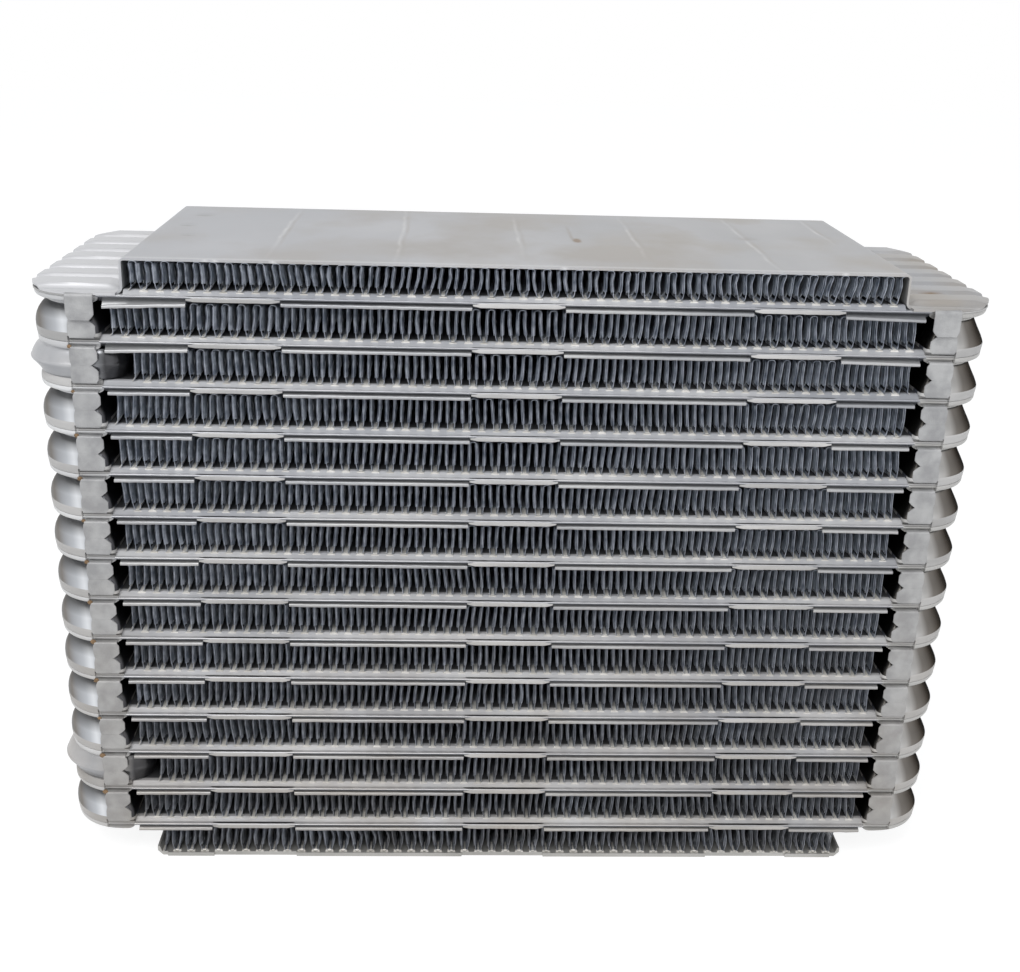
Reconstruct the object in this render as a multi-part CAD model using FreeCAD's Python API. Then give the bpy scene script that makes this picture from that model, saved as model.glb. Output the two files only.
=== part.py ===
import FreeCAD, Part
import math
import os

# Evaporator core of stamped plates, in millimetres. X runs along the tubes, Y to the rear and Z up.
# The origin is the middle of the underside of the bottom plate, half way along and half way back.

# Stack
tube_count = 14
tube_pitch = 12.14
tube_height = 3.3
bottom_fin_height = 8.7
top_fin_height = 7.6
core_depth = 90.5

# Places along the tubes, from the middle outwards, each measured from the one before
fin_reach = 107.0
tank_clearance = 1.6
tank_width = 20.1
lip_overhang = 0.6
hat_setback = 4.0

# Tube plates
sheet = 0.5
plate_overhang = 2.0
tank_front_flat = 4.1
upper_cup_height = 7.5
cup_inset = 3.3
channel_slope = 1.5
channel_flange = 1.15

# Front lips of the lower plates and tongues of both
lip_drop = 1.25
joint_notch_width = 24.5
joint_notch_spacing = 74.0
tongue_setback = 1.0
tongue_width = 6.8
tongue_notch_depth = 1.7
tongue_notch_height = 2.1
tongue_outer_inset = 0.4
tongue_gap = 0.05

# Air fins
fin_foil = 0.2
fin_legs = 41
end_fin_clearance = 0.2
port_fin_clearance = 1.4

# Side plates
hat_sheet = 0.6
hat_bend = 1.2
hat_inner_bend = 0.6
bead_count = 7
bead_margin = 3.85
bead_height = 1.4
bead_side = 1.5
bead_groove = 2.4
hat_tongue_clearance = 0.05
hat_tongue_corner = 1.5
bottom_sheet = 1.2
bottom_front_step = 0.6
bottom_end_curl = 3.0

# Ports
port_tiers = {"outlet": 2, "inlet": 12}
collar_height = 8.0
collar_bulge = 2.2
collar_ledge = 5.4
collar_setback = 0.85
collar_front_corner = 13.5
collar_rear_corner = 9.5
collar_slot_width = 11.0
collar_slot_margin = 15.4
duct_width = 4.2
pipe_radius = 4.0
pipe_bore_radius = 3.0
pipe_length = 14.0

# Sizes that follow from those above
corner_steps = 3
joint_above_fins = tube_height / 2
half_pitch = tube_pitch / 2
half_depth = core_depth / 2
plate_half_depth = half_depth + plate_overhang
cup_inner_reach = fin_reach + tank_clearance
tank_reach = cup_inner_reach + tank_width
tank_corner = tank_width - tank_front_flat
lower_cup_height = tube_pitch - upper_cup_height
lip_reach = fin_reach + lip_overhang
hat_reach = fin_reach - hat_setback
end_fin_reach = hat_reach - max(bottom_sheet, hat_sheet + hat_inner_bend) - end_fin_clearance
tongue_inner_x = cup_inner_reach + tongue_setback
tongue_outer_x = tongue_inner_x + tongue_width
bead_pitch = 2 * (plate_half_depth - bead_margin) / bead_count
collar_outer_x = tank_reach + collar_bulge
collar_inner_x = cup_inner_reach - collar_ledge
collar_half_depth = plate_half_depth - collar_setback
port_fin_reach = collar_inner_x - port_fin_clearance


def joint_height(tube):
    """Height of the plane where the two plates of a tube meet; tube 1 is at the top."""
    lowest = bottom_sheet + bottom_fin_height + joint_above_fins
    return lowest + (tube_count - tube) * tube_pitch


def point(x, y, z=0.0):
    return FreeCAD.Vector(x, y, z)


def flat_face(points):
    return Part.Face(Part.makePolygon(points + points[:1]))


def box(x_range, y_range, z_range):
    size = [high - low for low, high in (x_range, y_range, z_range)]
    return Part.makeBox(*size, point(x_range[0], y_range[0], z_range[0]))


def rounded_outline(x_range, y_range, radii, steps=corner_steps):
    """Corner points of a rectangle, from the front left round to the rear left, with chords for its arcs."""
    corners = [
        (x_range[0], y_range[0], 180),
        (x_range[1], y_range[0], 270),
        (x_range[1], y_range[1], 0),
        (x_range[0], y_range[1], 90),
    ]
    outline = []
    for (x, y, start), radius in zip(corners, radii):
        if radius <= 0:
            outline.append((x, y))
            continue
        centre_x = x + radius * (1 if x == x_range[0] else -1)
        centre_y = y + radius * (1 if y == y_range[0] else -1)
        for step in range(steps + 1):
            angle = math.radians(start + 90 * step / steps)
            outline.append((centre_x + radius * math.cos(angle), centre_y + radius * math.sin(angle)))
    return outline


def tapered_solid(lower, lower_z, upper, upper_z):
    """Loft with flat sides between two outlines that have parallel edges."""
    below = [point(x, y, lower_z) for x, y in lower]
    above = [point(x, y, upper_z) for x, y in upper]
    faces = [flat_face(below), flat_face(above)]
    for index in range(len(below)):
        after = (index + 1) % len(below)
        faces.append(flat_face([below[index], below[after], above[after], above[index]]))
    solid = Part.makeSolid(Part.makeShell(faces))
    if solid.Volume < 0:
        solid.reverse()
    return solid


def upright_solid(outline, lower_z, upper_z):
    return tapered_solid(outline, lower_z, outline, upper_z)


def along_y(section, y_range):
    """Section of x and z points, drawn out between two depths."""
    face = flat_face([point(x, y_range[0], z) for x, z in section])
    return face.extrude(point(0, y_range[1] - y_range[0], 0))


def along_x(section, x_range):
    """Section of y and z points, drawn out between two places on the width."""
    face = flat_face([point(x_range[0], y, z) for y, z in section])
    return face.extrude(point(x_range[1] - x_range[0], 0, 0))


def across(outline, side):
    """The outline as it lies on the right (side 1) or mirrored to the left (side -1)."""
    return [(side * x, y) for x, y in outline]


def tank_outline(inset, steps=corner_steps):
    """Plan of a drawn tank cup on the right, square beside the fins and round at the outer end."""
    x_range = (cup_inner_reach + inset, tank_reach - inset)
    reach = plate_half_depth - inset
    corner = tank_corner - inset
    return rounded_outline(x_range, (-reach, reach), (0, corner, corner, 0), steps)


def rim_solid(side):
    """Upright rim round a tank, as high as the tube's own half."""
    return upright_solid(across(tank_outline(0), side), 0, joint_above_fins)


def cup_solids(height, inset, side):
    """Outside of one cup from the top of its rim to its mouth, and the hollow that is cut out of it."""
    foot = across(tank_outline(0), side)
    mouth = across(tank_outline(inset), side)
    inner_foot = across(tank_outline(sheet, 1), side)
    inner_mouth = across(tank_outline(sheet + inset, 1), side)
    outside = tapered_solid(foot, joint_above_fins, mouth, height).fuse(rim_solid(side))
    return outside, tapered_solid(inner_foot, 0, inner_mouth, height)


def closed_tank(side):
    """Outside and hollow of a tank end that a plate closes with a flat floor."""
    hollow = upright_solid(across(tank_outline(sheet, 1), side), 0, joint_above_fins - sheet)
    return rim_solid(side), hollow


def channel_section(inset):
    """Section of the raised channel that carries the fins, drawn in by inset for its inner side."""
    foot = plate_half_depth - channel_flange - inset
    shoulder = foot - channel_slope
    top = joint_above_fins - inset
    start = sheet - inset
    return [(-foot, start), (-shoulder, top), (shoulder, top), (foot, start)]


def tongue(side, height):
    """Flat tongue that stands on the front edge of the plate, before the tank, cut slantwise at its tip."""
    inner = side * tongue_inner_x
    outer = side * tongue_outer_x
    section = [
        (inner, sheet),
        (inner, height - tongue_notch_height),
        (inner + side * tongue_notch_depth, height),
        (outer - side * tongue_outer_inset, height),
        (outer, sheet),
    ]
    return along_y(section, (-plate_half_depth, sheet - plate_half_depth))


def plate_outline():
    """Plan of a whole plate with its rounded tank corners."""
    x_range = (-tank_reach, tank_reach)
    return rounded_outline(x_range, (-plate_half_depth, plate_half_depth), (tank_corner,) * 4)


def stamped_plate(tanks, with_tongues):
    """Upper plate of a tube with its joint plane at height zero; tanks holds their outsides and hollows."""
    plate = upright_solid(plate_outline(), 0, sheet)
    reach = cup_inner_reach + 2 * sheet if tanks else end_fin_reach
    inner_reach = reach + sheet if tanks else reach - sheet
    solids = [along_x(channel_section(0), (-reach, reach))]
    hollows = [along_x(channel_section(sheet), (-inner_reach, inner_reach))]
    for outside, hollow in tanks:
        solids.append(outside)
        hollows.append(hollow)
    if with_tongues:
        solids += [tongue(side, half_pitch - tongue_gap) for side in (-1, 1)]
    for solid in solids:
        plate = plate.fuse(solid)
    for hollow in hollows:
        plate = plate.cut(hollow)
    return plate.removeSplitter()


def front_lips():
    """Lips turned down along the front of a lower plate, between the three joint notches."""
    half_notch = joint_notch_width / 2
    edges = [-lip_reach]
    for centre in (-joint_notch_spacing, 0, joint_notch_spacing):
        edges += [centre - half_notch, centre + half_notch]
    edges.append(lip_reach)
    depth = (-plate_half_depth, sheet - plate_half_depth)
    drop = (-sheet - lip_drop, -sheet)
    return [box((edges[i], edges[i + 1]), depth, drop) for i in range(0, len(edges), 2)]


def turned_over(plate):
    """The plate mirrored in its joint plane, for the lower half of a tube."""
    return plate.mirror(point(0, 0, 0), point(0, 0, 1))


def with_front_lips(plate):
    for lip in front_lips():
        plate = plate.fuse(lip)
    return plate.removeSplitter()


def tank_cup(tier, height, side):
    """Cup that meets the one across its tier, or the port collar on the left of a port tier."""
    if side < 0 and tier in port_tiers.values():
        return cup_solids(half_pitch - collar_height / 2, collar_setback, side)
    return cup_solids(height, cup_inset, side)


def upper_plate(tube):
    tanks = [tank_cup(tube - 1, upper_cup_height, side) for side in (-1, 1)] if tube > 1 else []
    plate = stamped_plate(tanks, tube > 1)
    return plate.translated(point(0, 0, joint_height(tube)))


def lower_plate(tube):
    if tube == tube_count:
        tanks = [closed_tank(side) for side in (-1, 1)]
    else:
        tanks = [tank_cup(tube, lower_cup_height, side) for side in (-1, 1)]
    plate = stamped_plate(tanks, 1 < tube < tube_count)
    plate = with_front_lips(turned_over(plate))
    return plate.translated(point(0, 0, joint_height(tube)))


def fin_row(x_range, z_range):
    """Strip of foil folded to and fro between two faces, its folds running from front to rear."""
    step = (x_range[1] - x_range[0]) / fin_legs
    height = z_range[1] - z_range[0]
    thickness = fin_foil * math.hypot(step, height) / step
    upper = []
    lower = []
    for fold in range(fin_legs + 1):
        x = x_range[0] + fold * step
        at_top = fold % 2
        upper.append((x, z_range[1] if at_top else z_range[0] + thickness))
        lower.append((x, z_range[1] - thickness if at_top else z_range[0]))
    return along_y(upper + lower[::-1], (-half_depth, half_depth))


def fin_range(row):
    """Width and height of one row of fins; row 1 is under the top plate."""
    left = right = fin_reach
    if row == 1:
        bottom = joint_height(1) + joint_above_fins
        return (-end_fin_reach, end_fin_reach), (bottom, bottom + top_fin_height)
    top = joint_height(row - 1) - joint_above_fins
    if row > tube_count:
        return (-end_fin_reach, end_fin_reach), (bottom_sheet, top)
    if row - 1 in port_tiers.values():
        left = port_fin_reach
    return (-left, right), (joint_height(row) + joint_above_fins, top)


def hat_half(side, top, ear):
    """Section of the roof from the middle to the foot of its end wall, with the bends as flats."""
    reach = hat_reach
    bend = hat_inner_bend
    inner = reach - hat_sheet
    cut = hat_bend * (1 - math.sqrt(0.5))
    ear_top = ear + hat_sheet
    section = [
        (0, top),
        (reach - hat_bend, top),
        (reach - cut, top - cut),
        (reach, top - hat_bend),
        (reach, ear_top + bend),
        (reach + bend, ear_top),
        (reach + hat_bend, ear_top),
        (reach + hat_bend, ear),
        (inner, ear),
        (inner, top - hat_sheet - bend),
        (inner - bend, top - hat_sheet),
        (0, top - hat_sheet),
    ]
    return [(side * x, z) for x, z in section]


def ear_section(ear):
    """Section of the ribbed ear, from front to rear: wide hollow ribs with narrow grooves between them."""
    start = -bead_count * bead_pitch / 2
    outer = [(-plate_half_depth, ear + hat_sheet)]
    inner = [(-plate_half_depth, ear)]
    for bead in range(bead_count):
        front = start + bead * bead_pitch + bead_groove / 2
        rear = start + (bead + 1) * bead_pitch - bead_groove / 2
        crown = ear + hat_sheet + bead_height
        outer += [(front, ear + hat_sheet), (front + bead_side, crown)]
        outer += [(rear - bead_side, crown), (rear, ear + hat_sheet)]
        inner += [(front + hat_sheet / 2, ear), (front + bead_side + hat_sheet / 3, crown - hat_sheet)]
        inner += [(rear - bead_side - hat_sheet / 3, crown - hat_sheet), (rear - hat_sheet / 2, ear)]
    outer.append((plate_half_depth, ear + hat_sheet))
    inner.append((plate_half_depth, ear))
    return outer + inner[::-1]


def hat_tongue(side, ear):
    """Tongue that hangs from the front of an ear, over the edges of the first tube."""
    front = -plate_half_depth - hat_tongue_clearance - hat_sheet
    low = joint_height(1) - half_pitch + tongue_gap
    inner = side * (tongue_inner_x - hat_tongue_clearance)
    outer = side * tongue_outer_x
    section = [
        (inner, ear + hat_sheet),
        (inner, low + tongue_notch_height),
        (inner + side * tongue_notch_depth, low),
        (outer - side * hat_tongue_corner, low),
        (outer, low + hat_tongue_corner),
        (outer, ear + hat_sheet),
    ]
    hanging = along_y(section, (front, front + hat_sheet))
    edge = (-plate_half_depth - hat_tongue_clearance, sheet - plate_half_depth)
    bridge = box(sorted((inner, outer)), edge, (ear, ear + hat_sheet))
    return hanging.fuse(bridge)


def top_side_plate():
    ear = joint_height(1) + sheet
    top = joint_height(1) + joint_above_fins + top_fin_height + hat_sheet
    blank = upright_solid(plate_outline(), ear - hat_sheet, top + hat_sheet)
    plate = None
    for side in (-1, 1):
        roof = along_y(hat_half(side, top, ear), (-half_depth, half_depth))
        reach = sorted((side * (hat_reach + hat_bend), side * (tank_reach + hat_sheet)))
        ribs = along_x(ear_section(ear), reach).common(blank)
        half = roof.fuse(ribs).fuse(hat_tongue(side, ear))
        plate = half if plate is None else plate.fuse(half)
    return plate.removeSplitter()


def bottom_side_plate():
    """Flat plate that the core stands on, curled up round the ends of the last fins."""
    reach = hat_reach
    curl = bottom_end_curl
    section = [
        (-reach + curl / 2, 0),
        (-reach, curl / 2),
        (-reach, curl),
        (-reach + bottom_sheet / 2, curl),
        (-reach + bottom_sheet, bottom_sheet),
    ]
    section += [(-x, z) for x, z in section[::-1]]
    plate = along_y(section, (-half_depth, half_depth))
    half_notch = joint_notch_width / 2
    wide_edges = [-reach + curl, -joint_notch_spacing - half_notch]
    wide_edges += [-joint_notch_spacing + half_notch, -half_notch]
    wide_edges += [-x for x in wide_edges[::-1]]
    for start in range(0, len(wide_edges), 2):
        front = (-half_depth - bottom_front_step, -half_depth)
        plate = plate.fuse(box((wide_edges[start], wide_edges[start + 1]), front, (0, bottom_sheet)))
    return plate.removeSplitter()


def tier_middle(tier):
    return joint_height(tier) - half_pitch


def collar_centre():
    return -(collar_outer_x + collar_inner_x) / 2


def port_collar(tier):
    """Hollow block between the cups of a port tier, with a duct out through its rear end."""
    middle = tier_middle(tier)
    low = middle - collar_height / 2
    high = middle + collar_height / 2
    centre = collar_centre()
    radii = (collar_front_corner, collar_front_corner, collar_rear_corner, collar_rear_corner)
    outline = rounded_outline(
        (-collar_outer_x, -collar_inner_x), (-collar_half_depth, collar_half_depth), radii
    )
    slot_x = (centre - collar_slot_width / 2, centre + collar_slot_width / 2)
    slot_reach = collar_half_depth - collar_slot_margin
    slot = box(slot_x, (-slot_reach, slot_reach), (low - sheet, high + sheet))
    duct_x = (centre - duct_width / 2, centre + duct_width / 2)
    duct = box(duct_x, (0, plate_half_depth), (middle - duct_width / 2, middle + duct_width / 2))
    return upright_solid(outline, low, high).cut(slot).cut(duct)


def stub_pipe(tier):
    """Open pipe that is brazed over the duct at the rear of a port collar."""
    start = point(collar_centre(), collar_half_depth, tier_middle(tier))
    rear = point(0, 1, 0)
    pipe = Part.makeCylinder(pipe_radius, pipe_length, start, rear)
    return pipe.cut(Part.makeCylinder(pipe_bore_radius, pipe_length, start, rear))


def all_nodes():
    nodes = {"top_side_plate": top_side_plate(), "bottom_side_plate": bottom_side_plate()}
    for row in range(1, tube_count + 2):
        nodes["fin_row_%02d" % row] = fin_row(*fin_range(row))
    for tube in range(1, tube_count + 1):
        nodes["tube_%02d_upper_plate" % tube] = upper_plate(tube)
        nodes["tube_%02d_lower_plate" % tube] = lower_plate(tube)
    for name, tier in port_tiers.items():
        nodes[name + "_port_collar"] = port_collar(tier)
        nodes[name + "_stub_pipe"] = stub_pipe(tier)
    return nodes


os.makedirs("parts", exist_ok=True)
for name, shape in all_nodes().items():
    shape.exportStep("parts/%s.step" % name)
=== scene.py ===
import math
import random

import bpy
import numpy as np
from mathutils import Matrix, Vector


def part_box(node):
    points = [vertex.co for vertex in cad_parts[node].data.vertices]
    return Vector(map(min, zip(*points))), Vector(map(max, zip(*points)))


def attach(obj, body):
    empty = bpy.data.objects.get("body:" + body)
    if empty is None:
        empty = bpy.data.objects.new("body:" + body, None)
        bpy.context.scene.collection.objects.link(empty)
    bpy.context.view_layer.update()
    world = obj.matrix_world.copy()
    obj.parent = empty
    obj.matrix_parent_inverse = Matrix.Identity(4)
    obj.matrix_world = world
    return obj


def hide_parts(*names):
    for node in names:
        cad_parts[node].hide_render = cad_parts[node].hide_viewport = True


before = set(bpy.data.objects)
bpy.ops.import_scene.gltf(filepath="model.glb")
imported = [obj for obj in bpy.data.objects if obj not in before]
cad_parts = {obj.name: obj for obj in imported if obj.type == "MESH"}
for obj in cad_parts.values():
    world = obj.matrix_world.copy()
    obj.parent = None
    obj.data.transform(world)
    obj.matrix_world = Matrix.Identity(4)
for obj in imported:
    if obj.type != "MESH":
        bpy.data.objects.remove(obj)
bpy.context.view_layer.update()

# Lengths in this script are millimetres in the frame's own axes, and become metres when a mesh is made.
MM = 0.001
SEED = 7


def node_box(name):
    """Lowest and highest corners of a node, in millimetres."""
    return [np.array(corner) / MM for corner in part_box(name)]


TUBES = sum(name.endswith("_upper_plate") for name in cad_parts)
ROWS = sum(name.startswith("fin_row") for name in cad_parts)
SHEET = 0.5
PLATE_LOW, PLATE_HIGH = node_box("tube_01_upper_plate")
TANK_REACH = PLATE_HIGH[0]
FRONT = PLATE_LOW[1]
REAR = PLATE_HIGH[1]
HALF_TUBE = PLATE_HIGH[2] - PLATE_LOW[2]
PITCH = node_box("tube_03_upper_plate")[0][2] - node_box("tube_04_upper_plate")[0][2]
FIN_REACH = node_box("fin_row_02")[1][0]
TANK_CLEARANCE = 1.6
CUP_INNER = FIN_REACH + TANK_CLEARANCE
TANK_CORNER = 16.0
PORT_TIERS = {"outlet": 2, "inlet": 12}


def joint_height(tube):
    """Height of the plane in which the two plates of a tube meet."""
    return node_box("tube_%02d_upper_plate" % tube)[0][2]


# Camera, fitted to the photograph. Angles are in radians.

CAMERA_PLACE = (-17.61, -399.66, 245.92)
CAMERA_FOCAL_PIXELS = 1377.1
IMAGE_WIDTH = 1020
SENSOR_WIDTH = 36.0
CAMERA_DOWN = 0.3440
CAMERA_TURN = 0.047
CAMERA_ROLL = 0.0301


def add_camera():
    """Camera at the photograph's place and angle."""
    data = bpy.data.cameras.new("camera")
    data.sensor_width = SENSOR_WIDTH
    data.lens = CAMERA_FOCAL_PIXELS / IMAGE_WIDTH * SENSOR_WIDTH
    data.clip_start = 0.01
    camera = bpy.data.objects.new("camera", data)
    bpy.context.scene.collection.objects.link(camera)
    turn = Matrix.Rotation(-CAMERA_TURN, 4, "Z")
    tilt = Matrix.Rotation(math.pi / 2 - CAMERA_DOWN, 4, "X")
    roll = Matrix.Rotation(CAMERA_ROLL, 4, "Z")
    place = Matrix.Translation([c * MM for c in CAMERA_PLACE])
    camera.matrix_world = place @ turn @ tilt @ roll
    bpy.context.scene.camera = camera


# Mesh helpers

SHARP_ANGLE = math.radians(35)


def bend_steps(*degrees):
    """Sine and cosine of the angles at which a rounded bend gets its points."""
    return [(math.sin(math.radians(angle)), math.cos(math.radians(angle))) for angle in degrees]


BEND = bend_steps(0, 22, 45, 67, 90)


class Shape:
    """Closed shells that are gathered into one mesh, each face with the number of its material."""

    def __init__(self):
        self.vertices = []
        self.faces = []
        self.skins = []

    def add(self, vertices, faces, skin=0):
        start = len(self.vertices)
        self.vertices += [tuple(v) for v in vertices]
        self.faces += [tuple(start + i for i in face) for face in faces]
        self.skins += [skin] * len(faces)

    def add_rings(self, rings, skin=0):
        """Skin over rings of equally many points, capped at both ends; skin may be a list, one per level."""
        count = len(rings[0])
        levels = len(rings) - 1
        skins = skin if isinstance(skin, list) else [skin] * levels
        start = len(self.vertices)
        self.vertices += [tuple(p) for ring in rings for p in ring]
        self.faces.append(tuple(start + i for i in reversed(range(count))))
        self.skins.append(skins[0])
        for level in range(levels):
            low = start + level * count
            for i in range(count):
                j = (i + 1) % count
                self.faces.append((low + i, low + j, low + count + j, low + count + i))
            self.skins += [skins[level]] * count
        last = start + levels * count
        self.faces.append(tuple(range(last, last + count)))
        self.skins.append(skins[-1])

    def add_sheet(self, outer, inner, skin=0):
        """Sheet between two grids of points of the same size, closed along its four edges."""
        self.add_rings([np.concatenate([one, other[::-1]]) for one, other in zip(outer, inner)], skin)

    def turn_over(self):
        """Mirrors the shape in the plane z = 0."""
        self.vertices = [(x, y, -z) for x, y, z in self.vertices]
        self.faces = [tuple(reversed(face)) for face in self.faces]

    def raise_by(self, height):
        self.vertices = [(x, y, z + height) for x, y, z in self.vertices]

    def make(self, name, slot, materials, *nodes):
        """Object that rides on the root, takes the given materials and stands for the given nodes; the slot is not
        used.
        """
        mesh = bpy.data.meshes.new(name)
        mesh.from_pydata((np.array(self.vertices) * MM).tolist(), [], self.faces)
        for material in materials:
            mesh.materials.append(material)
        mesh.polygons.foreach_set("material_index", self.skins)
        mesh.update()
        mesh.shade_smooth()
        mesh.set_sharp_from_angle(angle=SHARP_ANGLE)
        piece = bpy.data.objects.new(name, mesh)
        bpy.context.scene.collection.objects.link(piece)
        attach(piece, "root")
        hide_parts(*nodes)
        return piece


def at_height(points, z):
    return [(x, y, z) for x, y in points]


def corner_points(x, y, inward_x, inward_y, radius, start, steps):
    """Quarter circle that rounds the corner at x, y; start is the angle of its first point."""
    points = []
    for step in range(steps + 1):
        angle = math.radians(start + 90 * step / steps)
        points.append((x + radius * (inward_x + math.cos(angle)), y + radius * (inward_y + math.sin(angle))))
    return points


# Fins

FOIL = 0.13
FIN_PITCH = 2.04
FOLD_RADIUS = 0.75
CREST = 0.32
FOLD_ANGLES = [math.radians(a) for a in (90, 55, 20, 0)]
LEG_PARTS = (0.32, 0.5, 0.68)
INNER_FOLD_ANGLES = [math.radians(a) for a in (90, 35, 0)]
INNER_LEG_PARTS = (0.5,)
EDGE_STRIP = 0.45
SLAT_PITCH = 1.1
SLAT_HALF = 0.6
SLATS = 4
FRONT_SLAT_LEVELS = 3
REAR_SLAT_LEVELS = 2
SLAT_TURN = math.radians(40)
SLAT_SPREAD = math.radians(9)
SLAT_LOW = 1.7
SLAT_HIGH = 0.8
FOOT_HALF = 1.2
FOOT_HEIGHT = 0.75
FOOT_SINK = 0.7
FOOT_DEPTH = 1.4
INNER_BOW = 0.9
ROW_END_GAP = 0.3
EDGE_SKIN, CREST_SKIN, SLAT_SKIN, INNER_SKIN = range(4)

# Places across a fillet under a fold, from -1 to 1, and the share of its height there
FOOT_STEPS = ((-1, 0.3), (-0.75, 0.85), (0, 1.0), (0.75, 0.85), (1, 0.3))

# Wave lengths of the slow changes along a row
WAVES = (9.0, 17.0, 41.0)
SWING_GAIN = 1.6

# How far the legs of each row lean, splay from their fold, bow to one side, bow against their neighbour,
# curl and stray, in millimetres
CALM = {"lean": 0.45, "splay": 0.18, "bow": 0.15, "pair": 0.10, "curl": 0.10, "loose": 0.17}
ROW_MOODS = {
    1: {"lean": 0.75, "splay": 0.2, "bow": 0.25, "pair": 0.38, "curl": 0.22, "loose": 0.10},
    2: {"lean": 0.45, "splay": 0.3, "bow": 0.20, "pair": 0.25, "curl": 0.15, "loose": 0.10},
    14: {"lean": 0.5, "splay": 0.3, "bow": 0.35, "pair": 0.25, "curl": 0.12, "loose": 0.12},
    15: {"lean": 0.8, "splay": 0.5, "bow": 0.50, "pair": 0.42, "curl": 0.20, "loose": 0.16},
}

# Bent places: row, x of the middle, half width, and how far the legs are pushed aside
KNOCKS = [(11, -14.9, 3.0, 1.1), (11, -5.4, 2.4, -0.9), (11, 4.8, 2.0, 0.7), (12, -14.8, 3.0, 1.0)]


def swing(x, phases):
    """Slow, smooth change along a row, between about -1 and 1."""
    return sum(math.sin(x / wave + phase) for wave, phase in zip(WAVES, phases)) / len(WAVES)


def knock(row, x):
    """How far the bent places of a row push a leg aside."""
    push = 0.0
    for place, centre, half, depth in KNOCKS:
        if place == row and abs(x - centre) < half:
            push += depth * math.cos(math.pi / 2 * (x - centre) / half) ** 2
    return push


def leg_curves(row, left, right):
    """Place, lean, bow and curl of each leg of a row."""
    rng = random.Random(SEED * 100 + row)
    mood = ROW_MOODS.get(row, CALM)
    legs = round((right - left) / FIN_PITCH)
    pitch = (right - left) / legs
    phases = [[rng.uniform(0, 2 * math.pi) for _ in WAVES] for _ in range(4)]
    loose = mood["loose"]
    curves = []
    for leg in range(legs):
        middle = left + (leg + 0.5) * pitch
        turn = 1 if leg % 2 == 0 else -1
        lean = mood["lean"] * swing(middle, phases[0]) * SWING_GAIN + rng.uniform(-loose, loose)
        lean += mood["splay"] * turn
        bow = mood["bow"] * swing(middle, phases[1]) * SWING_GAIN + rng.uniform(-loose, loose)
        bow += mood["pair"] * (1 + 0.5 * swing(middle, phases[2])) * turn
        curl = mood["curl"] * swing(middle, phases[3]) * SWING_GAIN
        curves.append((middle, lean, bow + knock(row, middle), curl))
    return curves


def leg_x(curve, part):
    """Where a leg stands at a share of its height."""
    middle, lean, bow, curl = curve
    rise = math.sin(math.pi * part)
    return middle + lean * (part - 0.5) + bow * (rise - 0.4) + curl * math.sin(2 * math.pi * part)


def fold_line(curves, low, high, angles=FOLD_ANGLES, parts=LEG_PARTS):
    """Middle line of the folded foil as x, z and whether the point lies in a fold."""
    line = []
    height = high - low
    for leg, curve in enumerate(curves):
        up = leg % 2 == 0
        start, end, sign = (low, high, 1) if up else (high, low, -1)
        for angle in angles:
            z = start + sign * FOLD_RADIUS * (1 - math.sin(angle))
            line.append((leg_x(curve, (z - low) / height) - FOLD_RADIUS * (1 - math.cos(angle)), z, True))
        for part in parts:
            z = start + (end - start) * part
            line.append((leg_x(curve, (z - low) / height), z, False))
        for angle in angles[::-1]:
            z = end - sign * FOLD_RADIUS * (1 - math.sin(angle))
            line.append((leg_x(curve, (z - low) / height) + FOLD_RADIUS * (1 - math.cos(angle)), z, True))
    return line


def foil_strip(shape, line, y_range, low, high, skin):
    """Foil along a line of points, as one closed shell between two depths, pale where it lies on a plate."""
    x, z = np.array([point[:2] for point in line]).T
    x_step = np.gradient(x)
    z_step = np.gradient(z)
    length = np.hypot(x_step, z_step)
    side_x = -z_step / length * FOIL / 2
    side_z = x_step / length * FOIL / 2
    one = np.clip(z + side_z, low, high)
    other = np.clip(z - side_z, low, high)
    front = np.full(len(x), y_range[0])
    rear = np.full(len(x), y_range[1])
    crest = z - low < CREST
    rings = np.stack([
        np.stack([x + side_x, front, one], 1),
        np.stack([x + side_x, rear, one], 1),
        np.stack([x - side_x, rear, other], 1),
        np.stack([x - side_x, front, other], 1),
    ], 1)
    shape.add_rings(rings, np.where(crest[:-1] & crest[1:], CREST_SKIN, skin).tolist())


def folds(line):
    """The runs of points that lie in one fold each."""
    runs = [[]]
    for point in line:
        if point[2]:
            runs[-1].append(point)
        elif runs[-1]:
            runs.append([])
    return [run for run in runs if run]


def slat(shape, curve, y, low, high, turn, skin, levels):
    """One louvre blade that stands across a leg, turned about the upright."""
    along = (SLAT_HALF * math.sin(turn), SLAT_HALF * math.cos(turn))
    thick = (FOIL / 2 * math.cos(turn), -FOIL / 2 * math.sin(turn))
    rings = []
    for z in np.linspace(low + SLAT_LOW, high - SLAT_HIGH, levels):
        x = leg_x(curve, (z - low) / (high - low))
        corners = []
        for a, b in ((-1, -1), (-1, 1), (1, 1), (1, -1)):
            corners.append((x + a * along[0] + b * thick[0], y + a * along[1] + b * thick[1], z))
        rings.append(corners)
    shape.add_rings(rings, skin)


def braze_feet(shape, curves, low, sink, front, rng):
    """Small fillets of solder in front of the folds that stand on the plate below."""
    for first, second in zip(curves[1::2], curves[2::2]):
        middle = (leg_x(first, 0) + leg_x(second, 0)) / 2
        height = FOOT_HEIGHT * rng.uniform(0.7, 1.15)
        rings = []
        for place, share in FOOT_STEPS:
            x = middle + place * FOOT_HALF
            base = low - sink
            top = base + height * share
            section = [(0, base), (0, top - 0.2 * height * share), (0.2, top)]
            section += [(FOOT_DEPTH - 0.2, low + 0.1), (FOOT_DEPTH, base)]
            rings.append([(x, front + y, z) for y, z in section])
        shape.add_rings(rings, CREST_SKIN)


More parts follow.
